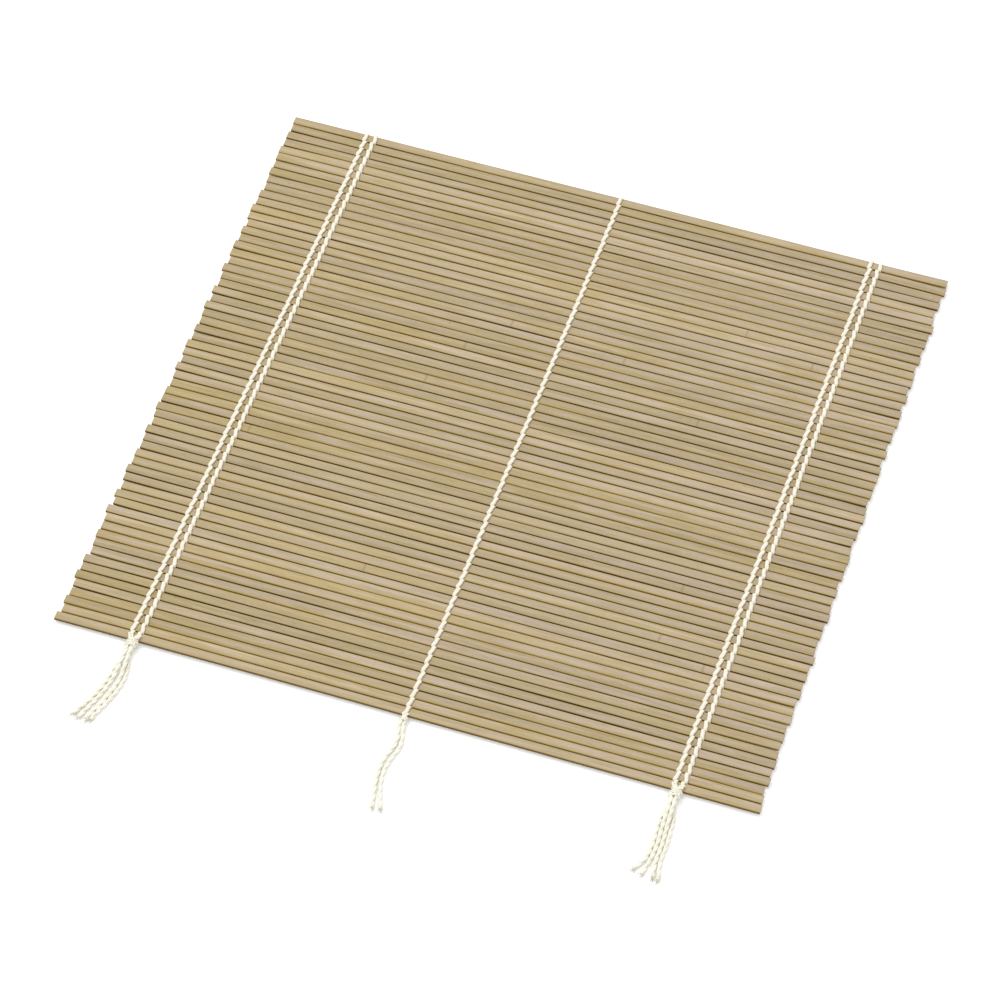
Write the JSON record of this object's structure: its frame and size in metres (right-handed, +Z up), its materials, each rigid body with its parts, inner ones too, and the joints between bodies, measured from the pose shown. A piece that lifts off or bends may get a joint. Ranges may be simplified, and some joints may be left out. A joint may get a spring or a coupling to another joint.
{
  "type": "sushi rolling mat",
  "caption": "Flat bamboo mat bound by twined cotton threads with knotted tails, for rolling and shaping sushi.",
  "frame": {"origin": "under the middle of the mat, on the surface that it lies on", "axes": "+X along the slats, to the right with the knots towards the viewer; +Y across the slats, from the knotted edge to the folded edge; +Z up"},
  "size_m": [0.24, 0.2673, 0.0043],
  "materials": {
    "bamboo": "split bamboo, flat faced and lightly sanded, unvarnished",
    "binding_thread": "twisted undyed cotton thread",
    "knotted_thread": "twisted undyed cotton thread, tied hard",
    "thread_tails": "twisted undyed cotton thread with fuzzy cut ends"
  },
  "bodies": {
    "knotted_edge": {"slats_01": "bamboo", "stitches_01": "binding_thread", "left_knot": "knotted_thread", "middle_knot": "knotted_thread", "right_knot": "knotted_thread", "left_tails": "thread_tails", "middle_tails": "thread_tails", "right_tails": "thread_tails"},
    "strip_02": {"slats_02": "bamboo", "stitches_02": "binding_thread"},
    "strip_03": {"slats_03": "bamboo", "stitches_03": "binding_thread"},
    "strip_04": {"slats_04": "bamboo", "stitches_04": "binding_thread"},
    "strip_05": {"slats_05": "bamboo", "stitches_05": "binding_thread"},
    "strip_06": {"slats_06": "bamboo", "stitches_06": "binding_thread"},
    "strip_07": {"slats_07": "bamboo", "stitches_07": "binding_thread"},
    "strip_08": {"slats_08": "bamboo", "stitches_08": "binding_thread"},
    "strip_09": {"slats_09": "bamboo", "stitches_09": "binding_thread"},
    "strip_10": {"slats_10": "bamboo", "stitches_10": "binding_thread"},
    "strip_11": {"slats_11": "bamboo", "stitches_11": "binding_thread"},
    "strip_12": {"slats_12": "bamboo", "stitches_12": "binding_thread"},
    "strip_13": {"slats_13": "bamboo", "stitches_13": "binding_thread"},
    "strip_14": {"slats_14": "bamboo", "stitches_14": "binding_thread"},
    "strip_15": {"slats_15": "bamboo", "stitches_15": "binding_thread"},
    "strip_16": {"slats_16": "bamboo", "stitches_16": "binding_thread"},
    "strip_17": {"slats_17": "bamboo", "stitches_17": "binding_thread"},
    "strip_18": {"slats_18": "bamboo", "stitches_18": "binding_thread"},
    "strip_19": {"slats_19": "bamboo", "stitches_19": "binding_thread"},
    "strip_20": {"slats_20": "bamboo", "stitches_20": "binding_thread"},
    "strip_21": {"slats_21": "bamboo", "stitches_21": "binding_thread"},
    "strip_22": {"slats_22": "bamboo", "stitches_22": "binding_thread"},
    "strip_23": {"slats_23": "bamboo", "stitches_23": "binding_thread"},
    "strip_24": {"slats_24": "bamboo", "stitches_24": "binding_thread"},
    "strip_25": {"slats_25": "bamboo", "stitches_25": "binding_thread"},
    "strip_26": {"slats_26": "bamboo", "stitches_26": "binding_thread"}
  },
  "joints": [
    {"name": "roll_up", "type": "hinge", "parent": "knotted_edge", "child": "strip_02", "pos_m": [0, -0.10443, 0.002], "axis": [1, 0, 0], "range_deg": [0, 25.47]},
    {"name": "roll_up_03", "type": "hinge", "parent": "strip_02", "child": "strip_03", "pos_m": [0, -0.09381, 0.002], "axis": [1, 0, 0], "range_deg": [0, 26.01]},
    {"name": "roll_up_04", "type": "hinge", "parent": "strip_03", "child": "strip_04", "pos_m": [0, -0.08319, 0.002], "axis": [1, 0, 0], "range_deg": [0, 26.58]},
    {"name": "roll_up_05", "type": "hinge", "parent": "strip_04", "child": "strip_05", "pos_m": [0, -0.07257, 0.002], "axis": [1, 0, 0], "range_deg": [0, 27.17]},
    {"name": "roll_up_06", "type": "hinge", "parent": "strip_05", "child": "strip_06", "pos_m": [0, -0.06195, 0.002], "axis": [1, 0, 0], "range_deg": [0, 27.79]},
    {"name": "roll_up_07", "type": "hinge", "parent": "strip_06", "child": "strip_07", "pos_m": [0, -0.05133, 0.002], "axis": [1, 0, 0], "range_deg": [0, 28.44]},
    {"name": "roll_up_08", "type": "hinge", "parent": "strip_07", "child": "strip_08", "pos_m": [0, -0.04071, 0.002], "axis": [1, 0, 0], "range_deg": [0, 29.12]},
    {"name": "roll_up_09", "type": "hinge", "parent": "strip_08", "child": "strip_09", "pos_m": [0, -0.03009, 0.002], "axis": [1, 0, 0], "range_deg": [0, 29.83]},
    {"name": "roll_up_10", "type": "hinge", "parent": "strip_09", "child": "strip_10", "pos_m": [0, -0.01947, 0.002], "axis": [1, 0, 0], "range_deg": [0, 30.57]},
    {"name": "roll_up_11", "type": "hinge", "parent": "strip_10", "child": "strip_11", "pos_m": [0, -0.00885, 0.002], "axis": [1, 0, 0], "range_deg": [0, 31.35]},
    {"name": "roll_up_12", "type": "hinge", "parent": "strip_11", "child": "strip_12", "pos_m": [0, 0.00177, 0.002], "axis": [1, 0, 0], "range_deg": [0, 32.17]},
    {"name": "roll_up_13", "type": "hinge", "parent": "strip_12", "child": "strip_13", "pos_m": [0, 0.01239, 0.002], "axis": [1, 0, 0], "range_deg": [0, 33.04]},
    {"name": "roll_up_14", "type": "hinge", "parent": "strip_13", "child": "strip_14", "pos_m": [0, 0.02301, 0.002], "axis": [1, 0, 0], "range_deg": [0, 28.55]},
    {"name": "roll_up_15", "type": "hinge", "parent": "strip_14", "child": "strip_15", "pos_m": [0, 0.03009, 0.002], "axis": [1, 0, 0], "range_deg": [0, 23.45]},
    {"name": "roll_up_16", "type": "hinge", "parent": "strip_15", "child": "strip_16", "pos_m": [0, 0.03717, 0.002], "axis": [1, 0, 0], "range_deg": [0, 23.91]},
    {"name": "roll_up_17", "type": "hinge", "parent": "strip_16", "child": "strip_17", "pos_m": [0, 0.04425, 0.002], "axis": [1, 0, 0], "range_deg": [0, 24.4]},
    {"name": "roll_up_18", "type": "hinge", "parent": "strip_17", "child": "strip_18", "pos_m": [0, 0.05133, 0.002], "axis": [1, 0, 0], "range_deg": [0, 24.89]},
    {"name": "roll_up_19", "type": "hinge", "parent": "strip_18", "child": "strip_19", "pos_m": [0, 0.05841, 0.002], "axis": [1, 0, 0], "range_deg": [0, 25.42]},
    {"name": "roll_up_20", "type": "hinge", "parent": "strip_19", "child": "strip_20", "pos_m": [0, 0.06549, 0.002], "axis": [1, 0, 0], "range_deg": [0, 25.96]},
    {"name": "roll_up_21", "type": "hinge", "parent": "strip_20", "child": "strip_21", "pos_m": [0, 0.07257, 0.002], "axis": [1, 0, 0], "range_deg": [0, 26.52]},
    {"name": "roll_up_22", "type": "hinge", "parent": "strip_21", "child": "strip_22", "pos_m": [0, 0.07965, 0.002], "axis": [1, 0, 0], "range_deg": [0, 27.11]},
    {"name": "roll_up_23", "type": "hinge", "parent": "strip_22", "child": "strip_23", "pos_m": [0, 0.08673, 0.002], "axis": [1, 0, 0], "range_deg": [0, 27.73]},
    {"name": "roll_up_24", "type": "hinge", "parent": "strip_23", "child": "strip_24", "pos_m": [0, 0.09381, 0.002], "axis": [1, 0, 0], "range_deg": [0, 28.37]},
    {"name": "roll_up_25", "type": "hinge", "parent": "strip_24", "child": "strip_25", "pos_m": [0, 0.10089, 0.002], "axis": [1, 0, 0], "range_deg": [0, 29.05]},
    {"name": "roll_up_26", "type": "hinge", "parent": "strip_25", "child": "strip_26", "pos_m": [0, 0.10797, 0.002], "axis": [1, 0, 0], "range_deg": [0, 29.76]}
  ],
  "couplings": [
    {"joint": "roll_up_03", "follows": "roll_up", "ratio": 1.0212},
    {"joint": "roll_up_04", "follows": "roll_up", "ratio": 1.0436},
    {"joint": "roll_up_05", "follows": "roll_up", "ratio": 1.0667},
    {"joint": "roll_up_06", "follows": "roll_up", "ratio": 1.0911},
    {"joint": "roll_up_07", "follows": "roll_up", "ratio": 1.1166},
    {"joint": "roll_up_08", "follows": "roll_up", "ratio": 1.1433},
    {"joint": "roll_up_09", "follows": "roll_up", "ratio": 1.1712},
    {"joint": "roll_up_10", "follows": "roll_up", "ratio": 1.2002},
    {"joint": "roll_up_11", "follows": "roll_up", "ratio": 1.2308},
    {"joint": "roll_up_12", "follows": "roll_up", "ratio": 1.2631},
    {"joint": "roll_up_13", "follows": "roll_up", "ratio": 1.2972},
    {"joint": "roll_up_14", "follows": "roll_up", "ratio": 1.1209},
    {"joint": "roll_up_15", "follows": "roll_up", "ratio": 0.92069},
    {"joint": "roll_up_16", "follows": "roll_up", "ratio": 0.93875},
    {"joint": "roll_up_17", "follows": "roll_up", "ratio": 0.95798},
    {"joint": "roll_up_18", "follows": "roll_up", "ratio": 0.97722},
    {"joint": "roll_up_19", "follows": "roll_up", "ratio": 0.99803},
    {"joint": "roll_up_20", "follows": "roll_up", "ratio": 1.0192},
    {"joint": "roll_up_21", "follows": "roll_up", "ratio": 1.0412},
    {"joint": "roll_up_22", "follows": "roll_up", "ratio": 1.0644},
    {"joint": "roll_up_23", "follows": "roll_up", "ratio": 1.0887},
    {"joint": "roll_up_24", "follows": "roll_up", "ratio": 1.1139},
    {"joint": "roll_up_25", "follows": "roll_up", "ratio": 1.1405},
    {"joint": "roll_up_26", "follows": "roll_up", "ratio": 1.1684}
  ]
}
